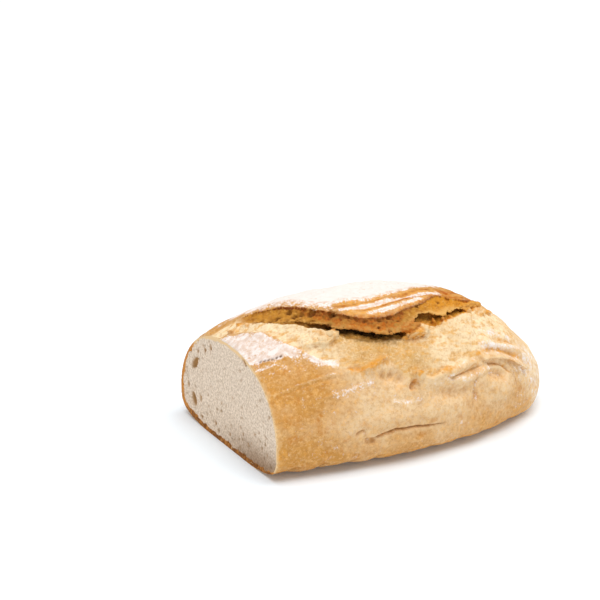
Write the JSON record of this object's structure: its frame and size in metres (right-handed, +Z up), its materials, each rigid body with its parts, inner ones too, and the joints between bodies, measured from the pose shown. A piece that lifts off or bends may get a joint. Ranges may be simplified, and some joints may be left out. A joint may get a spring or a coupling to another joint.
{
  "type": "hearth-baked bread loaf",
  "caption": "Crusty oval bread loaf, cut straight across at one end to show its crumb, with a long torn ear along its floured crown.",
  "frame": {"origin": "bottom centre of the bounding box, on the plane the loaf rests on", "axes": "+X along the loaf from the cut face to the baked tip, +Z up, -Y the side where the torn face opens"},
  "size_m": [0.25, 0.1646, 0.1053],
  "materials": {
    "crust": "dry matt baked crust, golden brown with white flour; pale porous crumb on the cut face"
  },
  "bodies": {
    "root": {"loaf": "crust"}
  },
  "joints": []
}
